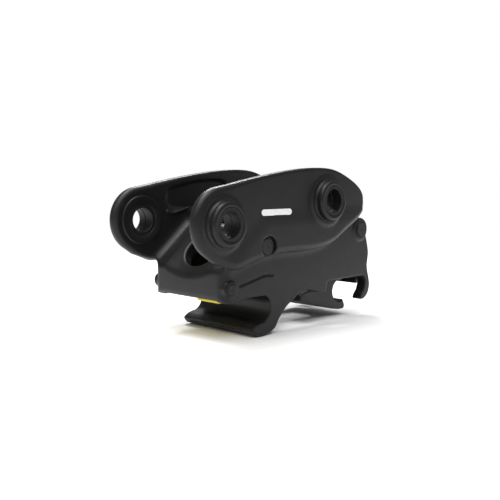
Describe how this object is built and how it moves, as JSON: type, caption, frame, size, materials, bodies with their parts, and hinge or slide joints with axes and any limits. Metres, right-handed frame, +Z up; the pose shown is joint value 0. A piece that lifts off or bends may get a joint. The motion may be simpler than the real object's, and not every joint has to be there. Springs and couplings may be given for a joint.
{
  "type": "excavator quick coupler",
  "caption": "Pin-grabber quick coupler: two-ear frame with a fixed front jaw and sprung lock, and a hydraulic rear hook that clamps attachment pins.",
  "frame": {"origin": "on the ground plane under the middle of the coupler's box", "axes": "+X to the rear (link end), +Y along the pins, +Z up"},
  "size_m": [0.9296, 0.5, 0.5515],
  "materials": {
    "black_paint": "satin charcoal paint over cast and plate steel",
    "yellow_paint": "satin yellow paint",
    "bare_steel": "machined steel, oiled",
    "dark_steel": "hardened and blackened steel",
    "bronze": "machined bronze",
    "chrome": "hard chrome",
    "seal_rubber": "matt seal rubber",
    "white_film": "plain white film"
  },
  "bodies": {
    "coupler_frame": {"left_ear": "black_paint", "right_ear": "black_paint", "left_side_plate": "black_paint", "right_side_plate": "black_paint", "dipper_bush_left": "dark_steel", "dipper_bush_right": "dark_steel", "link_bush_left": "dark_steel", "link_bush_right": "dark_steel", "dipper_hub_left": "black_paint", "dipper_hub_right": "black_paint", "link_hub_left": "black_paint", "link_hub_right": "black_paint", "front_wall": "black_paint", "front_jaw": "black_paint", "belly_web": "black_paint", "rear_wall": "black_paint", "lock_pin": "black_paint", "lock_ring_left": "dark_steel", "lock_ring_right": "dark_steel", "anchor_pin": "black_paint", "anchor_ring_left": "dark_steel", "anchor_ring_right": "dark_steel", "hook_pin": "black_paint", "hook_ring_left": "dark_steel", "hook_ring_right": "dark_steel", "lock_spring_left": "bare_steel", "lock_spring_right": "bare_steel", "blank_label_left": "white_film", "blank_label_right": "white_film"},
    "hook": {"rear_hook": "black_paint", "hook_bush_left": "bronze", "hook_bush_right": "bronze", "rod_pin": "bare_steel", "rod_pin_ring_left": "dark_steel", "rod_pin_ring_right": "dark_steel"},
    "cylinder": {"cylinder_barrel": "black_paint", "cylinder_base": "black_paint", "cylinder_gland": "dark_steel", "rod_wiper": "seal_rubber", "check_valve": "bare_steel", "port_adapter_open": "bare_steel", "port_adapter_close": "bare_steel", "transfer_tube": "bare_steel"},
    "rod": {"piston": "bare_steel", "piston_seal": "seal_rubber", "piston_rod": "chrome", "piston_nut": "bare_steel", "rod_eye": "dark_steel"},
    "lock": {"front_lock": "yellow_paint"}
  },
  "joints": [
    {"name": "hook_swing", "type": "hinge", "parent": "coupler_frame", "child": "hook", "pos_m": [0.39206, 0, 0.3275], "axis": [0, 1, 0], "range_deg": [-6, 18]},
    {"name": "cylinder_swing", "type": "hinge", "parent": "coupler_frame", "child": "cylinder", "pos_m": [-0.15794, 0, 0.2985], "axis": [0, 1, 0], "range_deg": [-1.4, 0.5]},
    {"name": "rod_stroke", "type": "slide", "parent": "cylinder", "child": "rod", "axis": [0.9852, 0, -0.1714], "range_m": [-0.038, 0.013]},
    {"name": "lock_swing", "type": "hinge", "parent": "coupler_frame", "child": "lock", "pos_m": [-0.28394, 0, 0.17], "axis": [0, -1, 0], "range_deg": [-14, 12]}
  ],
  "couplings": [
    {"joint": "rod_stroke", "follows": "hook_swing", "m_per_rad": -0.1185},
    {"joint": "cylinder_swing", "follows": "hook_swing", "ratio": -0.0725}
  ]
}
